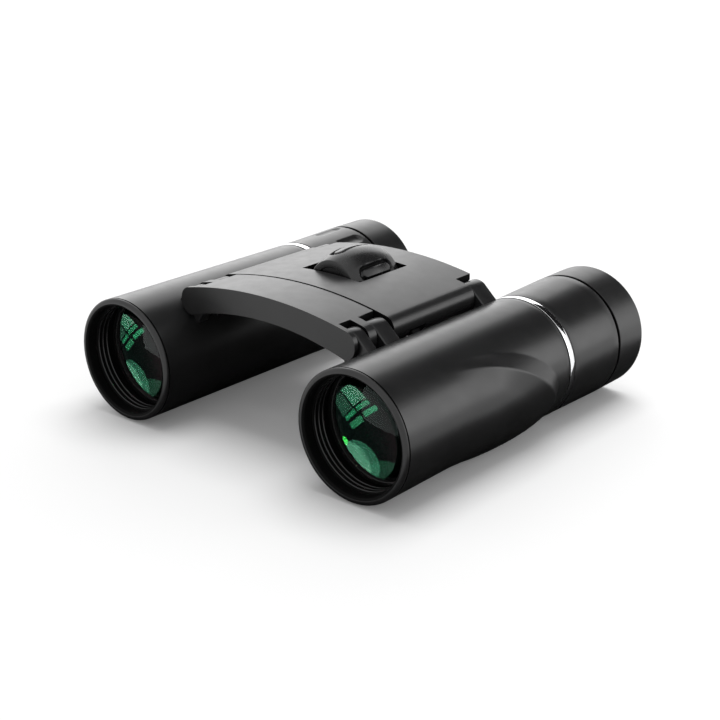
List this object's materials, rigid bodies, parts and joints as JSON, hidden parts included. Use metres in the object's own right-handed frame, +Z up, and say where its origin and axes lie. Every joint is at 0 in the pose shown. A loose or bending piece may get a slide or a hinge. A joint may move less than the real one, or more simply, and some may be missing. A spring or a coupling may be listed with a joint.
{
  "type": "folding binoculars",
  "caption": "Pocket roof-prism binoculars: black barrels folding on a curved bridge with a central focus wheel, dioptre ring and pull-out eyecups.",
  "frame": {"origin": "on the ground under the middle of the object, barrels fully open", "axes": "+X across to the user's left barrel, +Y from the objectives to the eyepieces, +Z up"},
  "size_m": [0.1004, 0.091, 0.0398],
  "materials": {
    "barrel_shell": "satin black moulding",
    "bridge_shell": "satin black moulding",
    "wheel": "satin black moulding",
    "eyecup": "satin black moulding",
    "inner_black": "dead black",
    "bright_ring": "polished",
    "steel": "turned",
    "bush": "turned",
    "coated_glass": "green anti-reflection coating",
    "clear_glass": "polished"
  },
  "bodies": {
    "bridge": {"bridge_front_strip": "bridge_shell", "bridge_rear_cover": "bridge_shell", "bridge_bottom_plate": "bridge_shell", "front_shaft_bush": "bush", "rear_shaft_bush": "bush", "left_hinge_pin": "steel", "right_hinge_pin": "steel", "left_guide_rod": "steel", "right_guide_rod": "steel", "left_front_plate_screw": "steel", "left_rear_plate_screw": "steel", "right_front_plate_screw": "steel", "right_rear_plate_screw": "steel"},
    "focus_wheel": {"focus_wheel": "wheel", "focus_screw": "steel"},
    "focus_carriage": {"focus_carriage": "steel"},
    "left_barrel": {"left_barrel_tube": "barrel_shell", "left_front_baffle": "inner_black", "left_prism_cage": "inner_black", "left_entry_prism": "clear_glass", "left_roof_prism": "clear_glass", "left_eyepiece_housing": "inner_black", "left_chrome_ring": "bright_ring", "left_rear_sleeve": "barrel_shell", "left_eyepiece_cell": "inner_black", "left_field_lens": "clear_glass", "left_eye_lens": "coated_glass"},
    "left_objective": {"left_objective_cell": "inner_black", "left_objective_retainer": "inner_black", "left_objective_crown_lens": "coated_glass", "left_objective_flint_lens": "coated_glass"},
    "left_eyecup": {"left_eyecup": "eyecup"},
    "right_barrel": {"right_barrel_tube": "barrel_shell", "right_front_baffle": "inner_black", "right_prism_cage": "inner_black", "right_entry_prism": "clear_glass", "right_roof_prism": "clear_glass", "right_eyepiece_housing": "inner_black", "right_chrome_ring": "bright_ring"},
    "right_objective": {"right_objective_cell": "inner_black", "right_objective_retainer": "inner_black", "right_objective_crown_lens": "coated_glass", "right_objective_flint_lens": "coated_glass"},
    "right_eyecup": {"right_eyecup": "eyecup"},
    "dioptre_ring": {"right_dioptre_ring": "barrel_shell"},
    "right_eyepiece": {"right_eyepiece_cell": "inner_black", "right_field_lens": "clear_glass", "right_eye_lens": "coated_glass"}
  },
  "joints": [
    {"name": "left_barrel_fold", "type": "hinge", "parent": "bridge", "child": "left_barrel", "pos_m": [0.0233, 0, 0.02905], "axis": [0, 1, 0], "range_deg": [0, 64]},
    {"name": "right_barrel_fold", "type": "hinge", "parent": "bridge", "child": "right_barrel", "pos_m": [-0.0233, 0, 0.02905], "axis": [0, -1, 0], "range_deg": [0, 64]},
    {"name": "focus_wheel_turn", "type": "hinge", "parent": "bridge", "child": "focus_wheel", "pos_m": [0, 0, 0.03115], "axis": [0, 1, 0], "range_deg": [-150, 150]},
    {"name": "focus_carriage_slide", "type": "slide", "parent": "bridge", "child": "focus_carriage", "axis": [0, 1, 0], "range_m": [-0.00125, 0.00125]},
    {"name": "left_objective_slide", "type": "slide", "parent": "left_barrel", "child": "left_objective", "axis": [0, 1, 0], "range_m": [-0.00125, 0.00125]},
    {"name": "right_objective_slide", "type": "slide", "parent": "right_barrel", "child": "right_objective", "axis": [0, 1, 0], "range_m": [-0.00125, 0.00125]},
    {"name": "dioptre_turn", "type": "hinge", "parent": "right_barrel", "child": "dioptre_ring", "pos_m": [-0.035, 0, 0.01515], "axis": [0, 1, 0], "range_deg": [-40, 40]},
    {"name": "right_eyepiece_slide", "type": "slide", "parent": "right_barrel", "child": "right_eyepiece", "axis": [0, 1, 0], "range_m": [-0.001, 0.001]},
    {"name": "left_eyecup_slide", "type": "slide", "parent": "left_barrel", "child": "left_eyecup", "axis": [0, 1, 0], "range_m": [0, 0.0045]},
    {"name": "right_eyecup_slide", "type": "slide", "parent": "right_barrel", "child": "right_eyecup", "axis": [0, 1, 0], "range_m": [0, 0.0045]}
  ],
  "couplings": [
    {"joint": "focus_carriage_slide", "follows": "focus_wheel_turn", "m_per_rad": 0.00047746},
    {"joint": "left_objective_slide", "follows": "focus_wheel_turn", "m_per_rad": 0.00047746},
    {"joint": "right_objective_slide", "follows": "focus_wheel_turn", "m_per_rad": 0.00047746},
    {"joint": "right_eyepiece_slide", "follows": "dioptre_turn", "m_per_rad": 0.0014324}
  ]
}
